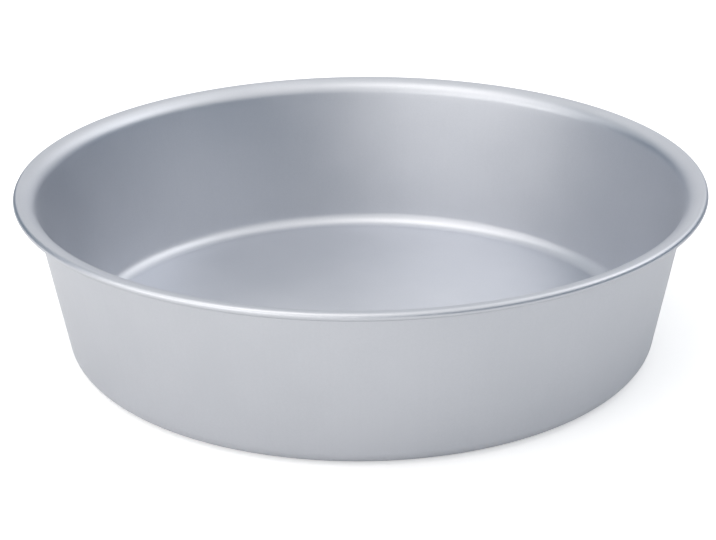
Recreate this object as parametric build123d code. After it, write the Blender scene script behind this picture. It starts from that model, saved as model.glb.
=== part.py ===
from math import cos, radians, sin, tan
import os

from build123d import *

# Round cake tin, pressed from one disc of aluminium sheet
# Lengths are in millimetres, angles in degrees. The base stands on Z = 0 and the tin's axis is Z.

# Driving sizes
sheet = 0.8               # thickness of the aluminium
mouth_diameter = 230.0    # inside, where the line of the wall reaches the height of the rim
height = 60.0             # from the table to the top of the rolled edge
wall_lean = 10.0          # how far the wall leans outwards from upright

# The bend between the floor and the wall
corner_radius = 5.5       # on the inside, where the cake lies

# The lip round the mouth
flare_radius = 6.0        # on the upper face, where the wall turns out into the lip
lip_flat = 1.2            # straight stretch of the lip, between the flare and the rolled edge
lip_rise = 6.0            # how steeply the lip still climbs outwards

# The rolled edge that stiffens the lip and hides the cut edge of the sheet
roll_gap = 1.0            # air inside the roll
roll_turn = 180.0         # how far the sheet is turned back under the lip
roll_return = 1.2         # straight stretch of the turned-back sheet

# Directions in which the sheet runs, measured up from level
wall_heading = 90 - wall_lean
lip_heading = lip_rise

# Bend radii of the middle of the sheet
half_sheet = sheet / 2
corner_middle = corner_radius + half_sheet
flare_middle = flare_radius - half_sheet
roll_middle = roll_gap / 2 + half_sheet
roll_outer = roll_gap / 2 + sheet


def run(place, length):
    """Go straight on along the middle of the sheet. A place is (radius, height, heading)."""
    r, z, heading = place
    along = radians(heading)
    return (r + length * cos(along), z + length * sin(along), heading)


def bend(place, radius, turn):
    """Go round a bend of the middle of the sheet. A positive turn is upwards, a negative one down."""
    r, z, heading = place
    swing = radius if turn > 0 else -radius
    before = radians(heading)
    after = radians(heading + turn)
    return (r + swing * (sin(after) - sin(before)), z - swing * (cos(after) - cos(before)), heading + turn)


def face_point(place, offset):
    """The point beside a place: half the sheet to the left is the upper face, to the right the lower."""
    r, z, heading = place
    across = radians(heading)
    return (r - offset * sin(across), 0, z + offset * cos(across))


def straight_stretch(length):
    """A flat stretch of sheet, as the places where it starts and ends."""
    return lambda place: [place, run(place, length)]


def bent_stretch(radius, turn):
    """A bent stretch of sheet, as the places at its start, middle and end."""
    return lambda place: [place, bend(place, radius, turn / 2), bend(place, radius, turn)]


def sheet_path(floor_flat, wall_flat):
    """Every stretch of the sheet in turn, from the centre of the floor to the cut edge."""
    stretches = {
        "floor": straight_stretch(floor_flat),
        "corner": bent_stretch(corner_middle, wall_heading),
        "wall": straight_stretch(wall_flat),
        "flare": bent_stretch(flare_middle, lip_heading - wall_heading),
        "lip": straight_stretch(lip_flat),
        "roll": bent_stretch(roll_middle, -roll_turn),
        "return": straight_stretch(roll_return),
    }
    place = (0, half_sheet, 0)
    path = {}
    for name, stretch in stretches.items():
        path[name] = stretch(place)
        place = path[name][-1]
    return path


def roll_centre(path):
    """Radius and height of the centre that the rolled edge turns about."""
    r, z, heading = path["roll"][0]
    across = radians(heading)
    return (r + roll_middle * sin(across), z - roll_middle * cos(across))


def fitted_path():
    """The path whose wall reaches the stated height and whose floor gives the stated mouth."""
    without_wall = sheet_path(0, 0)
    top_without_wall = roll_centre(without_wall)[1] + roll_outer
    wall_flat = (height - top_without_wall) / sin(radians(wall_heading))
    inside_r, _, inside_z = face_point(without_wall["wall"][0], half_sheet)
    mouth_without_floor = inside_r + (height - inside_z) * tan(radians(wall_lean))
    floor_flat = mouth_diameter / 2 - mouth_without_floor
    return sheet_path(floor_flat, wall_flat)


def face_edges(path, offset):
    """One face of the sheet, cut along the tin's axis: a line or an arc for each stretch."""
    edges = []
    for places in path.values():
        points = [face_point(place, offset) for place in places]
        edges.append(ThreePointArc(*points) if len(points) == 3 else Line(*points))
    return edges


def tin_body():
    """The whole tin: the cut shape of the sheet, turned once round the axis."""
    path = fitted_path()
    inner = face_edges(path, half_sheet)
    outer = face_edges(path, -half_sheet)
    cut_edge = Line(inner[-1] @ 1, outer[-1] @ 1)
    axis_edge = Line(inner[0] @ 0, outer[0] @ 0)
    outline = make_face([*inner, cut_edge, *outer, axis_edge])
    return revolve(outline, Axis.Z)


tin = tin_body()
os.makedirs("parts", exist_ok=True)
export_step(tin, "parts/tin_body.step")

# What was made
box = tin.bounding_box()
centre_r, centre_z = roll_centre(fitted_path())
print("Across the rim", round(box.size.X, 2), "and high", round(box.size.Z, 2))
print("Rolled edge", round(2 * roll_outer, 2), "thick")
print("Rolled edge centred at radius", round(centre_r, 2), "and height", round(centre_z, 2))
print("Floor flat to radius", round(fitted_path()["floor"][-1][0], 2))
print("Solids", len(tin.solids()), "valid", tin.is_valid, "volume", round(tin.volume))
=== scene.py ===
# %% [markdown]
# # A round cake tin in satin aluminium
# The real tin starts as one flat disc of sheet. A press pushes it into a die, which makes the floor, the
# wall and the flared lip in one stroke, and a grooved wheel then curls the cut edge under. It has no seam
# and no joint, so here it is one mesh as well. The cells below walk along the sheet, turn that path once
# round the axis, give it a satin metal and light it on a white table.

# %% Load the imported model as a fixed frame
from math import cos, degrees, pi, radians, sin, tan

import bpy
from mathutils import Matrix, Vector


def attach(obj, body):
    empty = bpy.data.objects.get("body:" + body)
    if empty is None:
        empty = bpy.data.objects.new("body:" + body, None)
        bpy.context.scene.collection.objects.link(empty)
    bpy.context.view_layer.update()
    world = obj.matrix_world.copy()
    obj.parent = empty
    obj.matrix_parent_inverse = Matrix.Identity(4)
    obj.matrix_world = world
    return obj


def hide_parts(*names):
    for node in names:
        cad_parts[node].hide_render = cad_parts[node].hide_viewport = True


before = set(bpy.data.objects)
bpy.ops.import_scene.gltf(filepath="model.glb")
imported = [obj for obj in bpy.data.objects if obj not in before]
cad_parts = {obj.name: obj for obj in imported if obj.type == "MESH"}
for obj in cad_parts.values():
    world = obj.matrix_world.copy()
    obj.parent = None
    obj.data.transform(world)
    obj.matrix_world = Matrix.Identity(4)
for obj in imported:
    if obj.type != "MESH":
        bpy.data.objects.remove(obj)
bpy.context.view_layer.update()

# %% [markdown]
# ## The camera
# A long lens from a little over half a metre away gives the flat, calm look of a catalogue picture. The
# camera stands 20 degrees above the rim and looks down by about 23 degrees, so it points 3 degrees lower
# than the middle of the mouth, which leaves the tin a little above the middle of the picture. It is placed
# from the middle of the mouth, because the rim is the outline that is easiest to measure.

# %% Stand the camera where the photograph was taken from
mouth_middle = Vector((0, 0, 0.0587))
camera_distance = 0.6331
camera_elevation = radians(19.81)
camera_pan = radians(0.10)
camera_tilt = radians(-2.98)
camera_roll = radians(0.45)

camera_data = bpy.data.cameras.new("catalogue_camera")
camera_data.sensor_width = 36
camera_data.lens = 89.2
camera_data.clip_start = 0.05
camera = bpy.data.objects.new("catalogue_camera", camera_data)
bpy.context.scene.collection.objects.link(camera)

away = Vector((0, -cos(camera_elevation), sin(camera_elevation)))
camera.matrix_world = (
    Matrix.Translation(mouth_middle + camera_distance * away)
    @ Matrix.Rotation(radians(90) - camera_elevation, 4, "X")
    @ Matrix.Rotation(camera_pan, 4, "Y")
    @ Matrix.Rotation(camera_tilt, 4, "X")
    @ Matrix.Rotation(-camera_roll, 4, "Z")
)
bpy.context.scene.camera = camera
print("Camera at", [round(v, 3) for v in camera.matrix_world.translation])

# %% [markdown]
# ## The path of the sheet
# Seen in a cut through the axis, the tin is one strip of sheet that runs straight, bends, runs straight
# again and so on, seven stretches in all. Each one needs only two numbers: how long it is along the middle
# of the sheet, and how far it turns. Drawing the outline by hand would work too, but then every bend would
# have to be redrawn when a size changes. Two lengths follow from the sizes that a cook knows, the height of
# the tin and the width of its mouth, so they are worked out last.

# %% List the seven stretches of sheet
sheet = 0.0008
mouth_diameter = 0.230
height = 0.060
wall_lean = radians(10)
lip_rise = radians(6)
corner_radius = 0.0055
flare_radius = 0.006
lip_flat = 0.0012
roll_gap = 0.001
roll_return = 0.0012
wall_heading = radians(90) - wall_lean


def bend(radius, turn):
    """Length and turn of a bend whose middle line has this radius. A positive turn is upwards."""
    return (radius * abs(turn), turn)


def stretches(floor_flat, wall_flat):
    """Length and turn of every stretch, from the centre of the floor to the cut edge."""
    return {
        "Floor": (floor_flat, 0),
        "Corner": bend(corner_radius + sheet / 2, wall_heading),
        "Wall": (wall_flat, 0),
        "Flare": bend(flare_radius - sheet / 2, lip_rise - wall_heading),
        "Lip": (lip_flat, 0),
        "Roll": bend(roll_gap / 2 + sheet / 2, -pi),
        "Return": (roll_return, 0),
    }


# %% [markdown]
# The two ends of a bend are joined by a chord that points halfway between the headings at its ends, so one
# small function can follow straight runs and bends alike. With no floor and no wall, the walk shows how much
# height and width the bends use up, and the flat floor and the straight wall fill in the rest.

# %% Work out the flat floor and the straight wall
def follow(path):
    """Places (radius, height, heading) where the stretches begin, and where the last one ends."""
    r, z, heading = 0, sheet / 2, 0
    places = {}
    for name, (length, turn) in path.items():
        places[name] = (r, z, heading)
        chord = length if turn == 0 else 2 * abs(length / turn) * sin(abs(turn) / 2)
        r += chord * cos(heading + turn / 2)
        z += chord * sin(heading + turn / 2)
        heading += turn
    places["End"] = (r, z, heading)
    return places


bends_only = follow(stretches(0, 0))
roll_outer = roll_gap / 2 + sheet
r, z, heading = bends_only["Roll"]
top_of_bends = z - (roll_outer - sheet / 2) * cos(heading) + roll_outer
wall_flat = (height - top_of_bends) / cos(wall_lean)

r, z, heading = bends_only["Wall"]
inside_r = r - sheet / 2 * sin(heading)
inside_z = z + sheet / 2 * cos(heading)
floor_flat = mouth_diameter / 2 - inside_r - (height - inside_z) * tan(wall_lean)

path = stretches(floor_flat, wall_flat)
for name, (length, turn) in path.items():
    print(f"{name:7} {1000 * length:7.2f} mm long, turns {degrees(turn):7.1f} degrees")

# %% [markdown]
# ## A node tree that presses the tin
# Geometry Nodes suit this shape, because the whole tin follows one rule. The tree gets the length and the
# turn of each stretch as named inputs, so the tin can be pressed again with a tighter corner or a wider lip.
# Small helpers keep the tree readable: one adds a node and links what it is given, one does a sum in a Math
# node, and one adds up several sockets.

# %% Helpers that add nodes to a tree
def pick(sockets, name):
    """The socket of that name that is in use, where a node has several for different kinds of data."""
    return next(s for s in sockets if s.name == name and s.enabled)


def add_node(tree, kind, inputs=None, **settings):
    """Add a node with these settings. Each input is a socket to link from or a plain value."""
    node = tree.nodes.new(kind)
    for name, value in settings.items():
        setattr(node, name, value)
    for name, value in (inputs or {}).items():
        socket = node.inputs[name] if isinstance(name, int) else pick(node.inputs, name)
        if isinstance(value, bpy.types.NodeSocket):
            tree.links.new(value, socket)
        else:
            socket.default_value = value
    return node


def maths(tree, operation, *values):
    """One Math node on sockets or plain numbers."""
    return add_node(tree, "ShaderNodeMath", dict(enumerate(values)), operation=operation).outputs[0]


def total(tree, values):
    """The sum of several sockets."""
    result = values[0]
    for value in values[1:]:
        result = maths(tree, "ADD", result, value)
    return result


# %% [markdown]
# ### Rows along the path
# Every stretch is cut into rows. They are close together in the bends, where light would show the least flat
# spot, and further apart on straight sheet.

# %% Open the tree and share out the rows
rows = {"Floor": 30, "Corner": 18, "Wall": 24, "Flare": 14, "Lip": 6, "Roll": 18, "Return": 3}
edge_rows = 4
segments = 256
path_rows = sum(rows.values())
face_rows = 2 * path_rows + 1 + edge_rows

press = bpy.data.node_groups.new("press_tin_from_sheet", "GeometryNodeTree")
press.interface.new_socket("Geometry", in_out="OUTPUT", socket_type="NodeSocketGeometry")
inputs = {"Sheet": sheet}
for name, (length, turn) in path.items():
    inputs[name + " length"] = length
    if turn:
        inputs[name + " turn"] = turn
for name, value in inputs.items():
    socket = press.interface.new_socket(name, in_out="INPUT", socket_type="NodeSocketFloat")
    socket.default_value = value
press.interface.new_socket("Metal", in_out="INPUT", socket_type="NodeSocketMaterial")
size = press.nodes.new("NodeGroupInput").outputs
print(path_rows, "rows along the sheet,", face_rows, "round its two faces,", segments, "round the axis")

# %% [markdown]
# ### Walking along the sheet
# Point number i of the path asks each stretch how much of it is done by row i. That share of the stretch's
# turn, added up over all stretches, is the heading there. The step to the next point has the heading of the
# row's middle, and Accumulate Field adds the steps up into a place.

# %% Turn lengths and turns into places
row = press.nodes.new("GeometryNodeInputIndex").outputs[0]
first_row = {name: sum(list(rows.values())[:i]) for i, name in enumerate(rows)}


def share_done(name, whole, rows_on):
    """How much of a stretch's whole is done, this many rows past the point's own row."""
    return add_node(press, "ShaderNodeMapRange", {
        "Value": maths(press, "ADD", row, rows_on),
        "From Min": first_row[name], "From Max": first_row[name] + rows[name],
        "To Min": 0, "To Max": whole,
    }).outputs[0]


def heading_at(rows_on):
    """The direction that the sheet runs in, this many rows past the point's own row."""
    turns = [share_done(name, size[name + " turn"], rows_on) for name in rows if path[name][1]]
    return total(press, turns)


def chords(name):
    """Length of a stretch along its rows' straight chords, a little less than along a bend itself."""
    length = size[name + " length"]
    if not path[name][1]:
        return length
    half_turn = maths(press, "DIVIDE", size[name + " turn"], 2 * rows[name])
    shrink = maths(press, "DIVIDE", maths(press, "SINE", half_turn), half_turn)
    return maths(press, "MULTIPLY", length, shrink)


walked_on = [share_done(name, chords(name), 1) for name in rows]
walked = [share_done(name, chords(name), 0) for name in rows]
step = maths(press, "SUBTRACT", total(press, walked_on), total(press, walked))
step_heading = heading_at(0.5)
step_vector = add_node(press, "ShaderNodeCombineXYZ", {
    "X": maths(press, "MULTIPLY", step, maths(press, "COSINE", step_heading)),
    "Z": maths(press, "MULTIPLY", step, maths(press, "SINE", step_heading)),
})
place = add_node(press, "GeometryNodeAccumulateField", {0: step_vector.outputs[0]}, data_type="FLOAT_VECTOR")
path_points = add_node(press, "GeometryNodePoints", {"Count": path_rows + 1})
print(len(press.nodes), "nodes so far")

# %% [markdown]
# ### Two faces and a cut edge
# A grid is the blank. Its rows go out along the upper face of the sheet, round the cut edge and back along
# the lower face, so each row looks up one point of the path and stands half a sheet to one side of it.
# Solidify could add the thickness too, but this way the thickness is exactly even in the tight roll, where
# Solidify would pinch.

# %% Let every row of a grid look up its point of the path
grid = add_node(press, "GeometryNodeMeshGrid", {
    "Size X": 1, "Size Y": 1, "Vertices X": segments + 1, "Vertices Y": face_rows + 1,
})
position = press.nodes.new("GeometryNodeInputPosition").outputs[0]
grid_place = add_node(press, "ShaderNodeSeparateXYZ", {0: position}).outputs
along_grid = maths(press, "ADD", grid_place["Y"], 0.5)
grid_row = maths(press, "ROUND", maths(press, "MULTIPLY", along_grid, face_rows))
back_row = maths(press, "SUBTRACT", face_rows, grid_row)
path_row = maths(press, "MINIMUM", maths(press, "MINIMUM", grid_row, back_row), path_rows)


def look_up(value, data_type):
    """Read a value of the path at the grid row's point."""
    return add_node(press, "GeometryNodeSampleIndex", {
        "Geometry": path_points.outputs[0], "Value": value, "Index": path_row,
    }, data_type=data_type).outputs[0]


middle_place = look_up(pick(place.outputs, "Trailing"), "FLOAT_VECTOR")
middle = add_node(press, "ShaderNodeSeparateXYZ", {0: middle_place}).outputs
heading_here = look_up(heading_at(0), "FLOAT")
print("Each of", segments + 1, "columns has", face_rows + 1, "points")

# %% [markdown]
# Half a turn round the cut edge leads from the upper face to the lower one. Its cosine says how far a row
# stands to the side of the path, and its sine how far the rounded edge reaches beyond the path's end.

# %% Stand the rows beside the path
round_edge = add_node(press, "ShaderNodeMapRange", {
    "Value": grid_row, "From Min": path_rows, "From Max": path_rows + 1 + edge_rows,
    "To Min": 0, "To Max": pi,
}).outputs[0]
half = maths(press, "MULTIPLY", size["Sheet"], 0.5)
edge_reach = maths(press, "MULTIPLY", half, 0.5)
across = maths(press, "MULTIPLY", half, maths(press, "COSINE", round_edge))
beyond = maths(press, "MULTIPLY", edge_reach, maths(press, "SINE", round_edge))
sine = maths(press, "SINE", heading_here)
cosine = maths(press, "COSINE", heading_here)
radius = maths(press, "SUBTRACT", middle["X"], maths(press, "MULTIPLY", across, sine))
radius = maths(press, "ADD", radius, maths(press, "MULTIPLY", beyond, cosine))
level = maths(press, "ADD", middle["Z"], half)
level = maths(press, "ADD", level, maths(press, "MULTIPLY", across, cosine))
level = maths(press, "ADD", level, maths(press, "MULTIPLY", beyond, sine))
print(len(press.nodes), "nodes so far")

# %% [markdown]
# ### Once round the axis
# The grid's other direction becomes the angle round the axis. Its first and last columns meet, and the rows
# on the axis shrink to a point, so Merge by Distance closes both. The angle runs backwards, so that the
# faces point out of the metal. The grid's own UV map is kept for patterns that run round the tin.

# %% Turn the section round and close it
angle = maths(press, "MULTIPLY", maths(press, "ADD", grid_place["X"], 0.5), -2 * pi)
turned = add_node(press, "ShaderNodeCombineXYZ", {
    "X": maths(press, "MULTIPLY", radius, maths(press, "COSINE", angle)),
    "Y": maths(press, "MULTIPLY", radius, maths(press, "SINE", angle)),
    "Z": level,
})
with_uv = add_node(press, "GeometryNodeStoreNamedAttribute", {
    "Geometry": grid.outputs["Mesh"], "Name": "UVMap", "Value": grid.outputs["UV Map"],
}, data_type="FLOAT2", domain="CORNER")
shaped = add_node(press, "GeometryNodeSetPosition", {
    "Geometry": with_uv.outputs[0], "Position": turned.outputs[0],
})
closed = add_node(press, "GeometryNodeMergeByDistance", {"Geometry": shaped.outputs[0], "Distance": 1e-6})
smooth = add_node(press, "GeometryNodeSetShadeSmooth", {"Geometry": closed.outputs[0]})
real = add_node(press, "GeometryNodeRealizeInstances", {"Geometry": smooth.outputs[0]})
painted = add_node(press, "GeometryNodeSetMaterial", {
    "Geometry": real.outputs[0], "Material": size["Metal"],
})
add_node(press, "NodeGroupOutput", {0: painted.outputs[0]})
print(len(press.nodes), "nodes in the tree")

# %% [markdown]
# ## Satin aluminium
# The tin has no paint and no non-stick layer. It is bare metal with a fine etched surface, which is also
# anodised, and that gives it a soft sheen and a slightly cool tone. The metal's colour is the share of light
# that one reflection keeps, and inside the tin light bounces several times, so the walls turn darker and
# cooler there by themselves.

# %% Start the metal with its two even values
metal = bpy.data.materials.new("etched_aluminium")
metal.use_nodes = True
surface = metal.node_tree
shader = surface.nodes["Principled BSDF"]
shader.inputs["Metallic"].default_value = 1.0
shader.inputs["IOR"].default_value = 1.45
place_on_tin = add_node(surface, "ShaderNodeTexCoord").outputs["Object"]
place_parts = add_node(surface, "ShaderNodeSeparateXYZ", {0: place_on_tin}).outputs
print("Metal", metal.name, "with metallic", shader.inputs["Metallic"].default_value)

# %% [markdown]
# Etching leaves a fine grain, and handling and washing leave clouds a few centimetres wide, both so faint
# that they show only as a slight unevenness of the sheen. Noise at two scales gives both.

# %% Grain and clouds
grain_scale = 1500
cloud_scale = 32


def noise(where, scale, detail):
    """Noise from 0 to 1 with this many cells to the metre."""
    return add_node(surface, "ShaderNodeTexNoise", {
        "Vector": where, "Scale": scale, "Detail": detail, "Roughness": 0.55,
    }).outputs[0]


def spread(value, low, high, start=0.3, end=0.7):
    """Move a value between start and end to the range from low to high."""
    return add_node(surface, "ShaderNodeMapRange", {
        "Value": value, "From Min": start, "From Max": end, "To Min": low, "To Max": high,
    }).outputs[0]


grain = noise(place_on_tin, grain_scale, 3.0)
clouds = noise(place_on_tin, cloud_scale, 2.0)
print("Grain", round(1000 / grain_scale, 1), "mm and clouds", round(1000 / cloud_scale), "mm wide")

# %% [markdown]
# The press also leaves its mark. The wall was drawn down into the die, so it has faint lines that run from
# the lip to the corner, and the floor was polished on a turning plate, which leaves faint rings. The
# direction out from the axis makes the first, and the distance from the axis the second.

# %% Drawing lines on the wall, polishing rings on the floor
floor_ends = 0.099
wall_starts = 0.106
flat_place = add_node(surface, "ShaderNodeCombineXYZ", {
    "X": place_parts["X"], "Y": place_parts["Y"],
}).outputs[0]
distance_out = add_node(surface, "ShaderNodeVectorMath", {0: flat_place}, operation="LENGTH").outputs["Value"]
outwards = add_node(surface, "ShaderNodeVectorMath", {0: flat_place}, operation="NORMALIZE").outputs["Vector"]
drawing_lines = noise(outwards, 70, 3.0)
ring_place = add_node(surface, "ShaderNodeCombineXYZ", {"X": distance_out}).outputs[0]
rings = noise(ring_place, 700, 3.0)
on_wall = spread(distance_out, 0, 1, floor_ends, wall_starts)
lines = add_node(surface, "ShaderNodeMix", {"Factor": on_wall, "A": rings, "B": drawing_lines}).outputs[0]
print("The rings give way to the lines between radius", floor_ends, "and", wall_starts)

# %% [markdown]
# Where the tin is touched, the etched grain is rubbed a little smoother: on the crest of the rolled edge,
# and round the foot, where it slides on the oven shelf.

# %% Rubbed places
crest_depth = 0.001
foot_height = 0.003
on_crest = spread(place_parts["Z"], 0, 1, height - crest_depth, height - crest_depth / 5)
near_table = spread(place_parts["Z"], 1, 0, 0.0, foot_height)
off_floor = spread(distance_out, 0, 1, floor_ends, floor_ends + 0.003)
rubbed = maths(surface, "MAXIMUM", on_crest, maths(surface, "MULTIPLY", near_table, off_floor))
print("Rubbed over the top", 1000 * crest_depth, "mm and the lowest", 1000 * foot_height, "mm")

# %% [markdown]
# The marks meet in the shader. Roughness decides how far reflections blur: the polished floor is a little
# smoother than the wall, and the drawing lines and the rubbed places change it slightly.

# %% How far the metal blurs what it reflects
etched = spread(clouds, 0.43, 0.47)
speckle = spread(grain, -0.02, 0.02)
streaks = maths(surface, "MULTIPLY", on_wall, spread(drawing_lines, -0.015, 0.015))
rub = maths(surface, "MULTIPLY", rubbed, -0.03)
polish = spread(on_wall, -0.07, 0.0, 0, 1)
surface.links.new(total(surface, [etched, speckle, streaks, rub, polish]), shader.inputs["Roughness"])
print(len(surface.nodes), "nodes so far")

# %% [markdown]
# The colour stays within a few percent of one tone. On the floor it is painted a tenth lighter, which is
# painted light in place of light that the lamps don't bring there. A bump of a few thousandths of a
# millimetre breaks the reflections up, as the real grain and lines do.

# %% Tone and fine relief
tone = add_node(surface, "ShaderNodeMix", {
    "Factor": spread(total(surface, [clouds, grain]), 0, 1, 0.8, 1.2),
    "A": (0.572, 0.592, 0.634, 1), "B": (0.598, 0.616, 0.658, 1),
}, data_type="RGBA")
# Painted light: the floor's colour is a tenth lighter, standing in for light that the lamps don't bring to
# it.
floor_painted_light_tone = add_node(surface, "ShaderNodeVectorMath", {
    0: pick(tone.outputs, "Result"), "Scale": spread(on_wall, 1.10, 1.0, 0, 1),
}, operation="SCALE")
surface.links.new(floor_painted_light_tone.outputs["Vector"], shader.inputs["Base Color"])

line_bump = add_node(surface, "ShaderNodeBump", {"Strength": 1.0, "Distance": 4e-6, "Height": lines})
grain_bump = add_node(surface, "ShaderNodeBump", {
    "Strength": 1.0, "Distance": 8e-6, "Height": grain, "Normal": line_bump.outputs[0],
})
surface.links.new(grain_bump.outputs[0], shader.inputs["Normal"])
print(len(surface.nodes), "nodes in the metal")

# %% [markdown]
# ## Press the tin
# The tree now runs once on an empty mesh. Its result is copied to a plain mesh, and the modifier goes, so
# that the finished tin is an ordinary object that can be moved, cut or exported.

# %% Run the tree and keep a plain mesh
blank = bpy.data.objects.new("blank", bpy.data.meshes.new("blank"))
bpy.context.scene.collection.objects.link(blank)
modifier = blank.modifiers.new("press", "NODES")
modifier.node_group = press
identifiers = {item.name: item.identifier for item in press.interface.items_tree}
for name, value in inputs.items():
    modifier[identifiers[name]] = value
modifier[identifiers["Metal"]] = metal

evaluated = blank.evaluated_get(bpy.context.evaluated_depsgraph_get())
tin_mesh = bpy.data.meshes.new_from_object(evaluated)
tin_mesh.name = "cake_tin"
tin_mesh.materials.pop(index=0)  # the grid's own slot, which is empty
blank.modifiers.remove(modifier)
bpy.data.objects.remove(blank)
tin = bpy.data.objects.new("cake_tin", tin_mesh)
bpy.context.scene.collection.objects.link(tin)
print("Materials", [m.name for m in tin_mesh.materials])
print("UV maps", [layer.name for layer in tin_mesh.uv_layers])

# %% [markdown]
# The volume shows whether the faces point outwards: it is positive when they do. It should also be about
# the area of sheet in the tin times its thickness.

# %% Measure the metal
def enclosed_volume(mesh):
    """Volume inside a closed mesh, from the pyramids between its triangles and the origin."""
    mesh.calc_loop_triangles()
    corners = [[mesh.vertices[v].co for v in triangle.vertices] for triangle in mesh.loop_triangles]
    return sum(a.dot(b.cross(c)) for a, b, c in corners) / 6


metal_volume = enclosed_volume(tin_mesh)
print("Tin of", len(tin_mesh.loop_triangles), "triangles")
print("Metal volume", round(1e9 * metal_volume), "cubic mm")

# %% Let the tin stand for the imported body
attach(tin, "root")
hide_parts("tin_body")
print("The tin rides on root and replaces tin_body")

# %% [markdown]
# ## White table and white room
# Catalogue tins stand on a white sweep under large soft lamps. The room is plain white light of strength 1,
# which is also the background. The table is a matt white that takes the tin's shadow. The camera sees a
# light of its own on it as well, so that it meets the background without an edge, and reflections see only
# a little of that light.

# %% Table
reach = 3.0
table_white = (0.80, 0.80, 0.80, 1)
light_for_camera = 0.42
light_for_reflections = 0.07

table_mesh = bpy.data.meshes.new("white_table")
table_corners = [(-reach, -reach, 0), (reach, -reach, 0), (reach, reach, 0), (-reach, reach, 0)]
table_mesh.from_pydata(table_corners, [], [(0, 1, 2, 3)])
table = bpy.data.objects.new("white_table", table_mesh)
bpy.context.scene.collection.objects.link(table)

white = bpy.data.materials.new("white_table")
white.use_nodes = True
paint = white.node_tree
paint.nodes.clear()
matt = add_node(paint, "ShaderNodeBsdfDiffuse", {"Color": table_white})
ray = add_node(paint, "ShaderNodeLightPath").outputs
reflected = maths(paint, "MAXIMUM", ray["Is Glossy Ray"], ray["Is Transmission Ray"])
seen_light = maths(paint, "MULTIPLY", ray["Is Camera Ray"], light_for_camera)
reflected_light = maths(paint, "MULTIPLY", reflected, light_for_reflections)
own_light = add_node(paint, "ShaderNodeEmission", {
    "Color": (1, 1, 1, 1), "Strength": maths(paint, "ADD", seen_light, reflected_light),
})
both = add_node(paint, "ShaderNodeAddShader", {0: matt.outputs[0], 1: own_light.outputs[0]})
add_node(paint, "ShaderNodeOutputMaterial", {"Surface": both.outputs[0]})
table_mesh.materials.append(white)
print("Table", 2 * reach, "m wide")

# %% Room
world = bpy.data.worlds.new("white_room")
world.use_nodes = True
background = world.node_tree.nodes["Background"]
background.inputs["Color"].default_value = (1, 1, 1, 1)
background.inputs["Strength"].default_value = 1.0
bpy.context.scene.world = world
print("Room light", background.inputs["Strength"].default_value)

# %% [markdown]
# ## Lamps
# Metal shows what stands round it, so the lamps are as large as windows. A directly lit matt thing could
# make do with one lamp, but here each lamp is placed for the piece of metal that mirrors it:
# - the strip, low at the left, for the right half of the back wall and the front of the outer wall
# - the lamp above for the thin highlights on the rolled edge and round the inside corner
# - the lamp behind for the middle of the floor
# - the small lamps at the right and the left, whose light the wall throws onto the edge of the floor
#
# Directions are given as seen from above, from the camera's side round to the right.

# %% Helpers that place lamps round the tin
lamp_distance = 1.5


def around(turn, rise, distance):
    """A place this far from the tin: turned from the camera's side to the right, and raised, in degrees."""
    a, e = radians(turn), radians(rise)
    return distance * Vector((cos(e) * sin(a), -cos(e) * cos(a), sin(e)))


def soft_lamp(name, turn, rise, width, depth, brightness, colour):
    """A rectangular lamp that faces the tin. Its brightness is what a mirror would show of it."""
    light = bpy.data.lights.new(name, "AREA")
    light.shape = "RECTANGLE"
    light.size = width
    light.size_y = depth
    light.energy = brightness * pi * width * depth
    light.color = colour
    lamp = bpy.data.objects.new(name, light)
    lamp.location = around(turn, rise, lamp_distance)
    lamp.rotation_euler = (-lamp.location).to_track_quat("-Z", "Y").to_euler()
    bpy.context.scene.collection.objects.link(lamp)
    print(name, "gives", round(light.energy, 2), "watts")


# %% Lamps
warm = (1.04, 1.0, 0.95)
warmer = (1.06, 1.0, 0.93)
neutral = (1.0, 1.0, 1.0)
soft_lamp("strip_left", 308, 20, 2.45, 0.45, 1.72, warm)
soft_lamp("lamp_above", 304, 66, 1.1, 1.1, 1.15, warmer)
soft_lamp("lamp_behind", 128, 44, 1.37, 0.75, 0.55, neutral)
soft_lamp("lamp_right", 107, 39, 0.4, 0.75, 1.1, neutral)
soft_lamp("lamp_left", 262, 42, 0.4, 0.75, 0.6, neutral)

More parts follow.
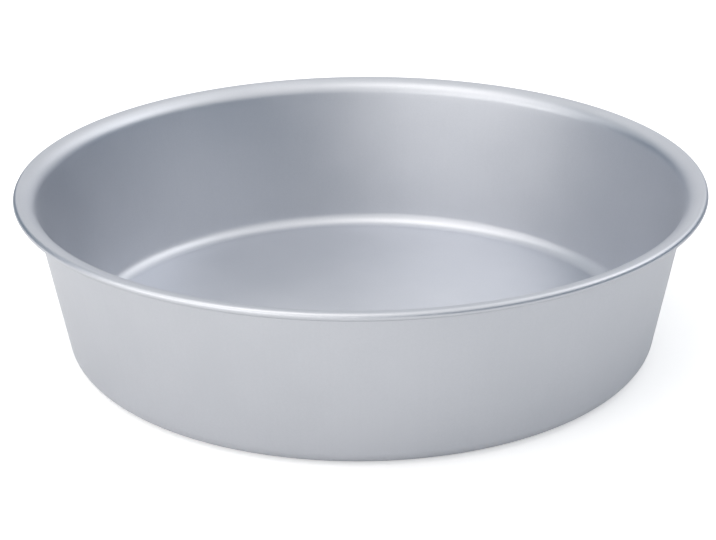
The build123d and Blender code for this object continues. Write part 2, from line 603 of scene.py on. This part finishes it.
# %% [markdown]
# ## Screens
# Dark screens stand where the tin has to look dark, and they make its shape readable: without them the
# white room would wash the satin wall out. Two dark ones, at the right and at the left, darken the two
# ends of the inner wall. The light grey one behind fills the opening between them. The lip lies nearly
# level, so it mirrors that opening from every side and looks evenly light all the way round. A tall
# middle grey one takes some of the white off the room above the left one. The camera doesn't see any of
# them, and they cast no shadow. The right one stands close, so it also keeps some of the room's light off
# the table there, which is the soft shade at the tin's lower right.

# %% Helper that puts up a screen
def screen(name, turn, width, rise, distance, shade, shades_table=False):
    """Part of a drum round the tin, given in degrees as it looks from the tin, that reflections see."""
    steps = 24
    top = distance * tan(radians(rise))
    corners, faces = [], []
    for i in range(steps + 1):
        foot = around(turn - width / 2 + width * i / steps, 0, distance)
        corners += [foot, foot + Vector((0, 0, top))]
        if i < steps:
            faces.append((2 * i, 2 * i + 2, 2 * i + 3, 2 * i + 1))
    mesh = bpy.data.meshes.new(name)
    mesh.from_pydata(corners, [], faces)
    cloth = bpy.data.materials.new(name)
    cloth.use_nodes = True
    cloth.node_tree.nodes.clear()
    glow = add_node(cloth.node_tree, "ShaderNodeEmission", {"Color": (*shade, 1), "Strength": 1.0})
    add_node(cloth.node_tree, "ShaderNodeOutputMaterial", {"Surface": glow.outputs[0]})
    mesh.materials.append(cloth)
    piece = bpy.data.objects.new(name, mesh)
    piece.visible_camera = False
    piece.visible_diffuse = shades_table
    piece.visible_shadow = False
    bpy.context.scene.collection.objects.link(piece)
    print(name, round(top, 2), "m high")


# %% Screens
deep_blue = (0.07, 0.135, 0.215)
light_grey = (0.66, 0.68, 0.72)
middle_grey = (0.47, 0.515, 0.555)
screen("dark_screen_right", 75, 128, 26.4, 0.65, deep_blue, shades_table=True)
screen("grey_screen_behind", 174, 66, 26.4, 1.2, light_grey)
screen("dark_screen_left", 239, 64, 26.4, 1.2, deep_blue)
screen("dark_screen_tall", 235, 44, 60, 1.3, middle_grey)

# %% [markdown]
# ## Colour
# The Standard view transform keeps colours as they are written.

# %% Finish
bpy.context.scene.view_settings.view_transform = "Standard"
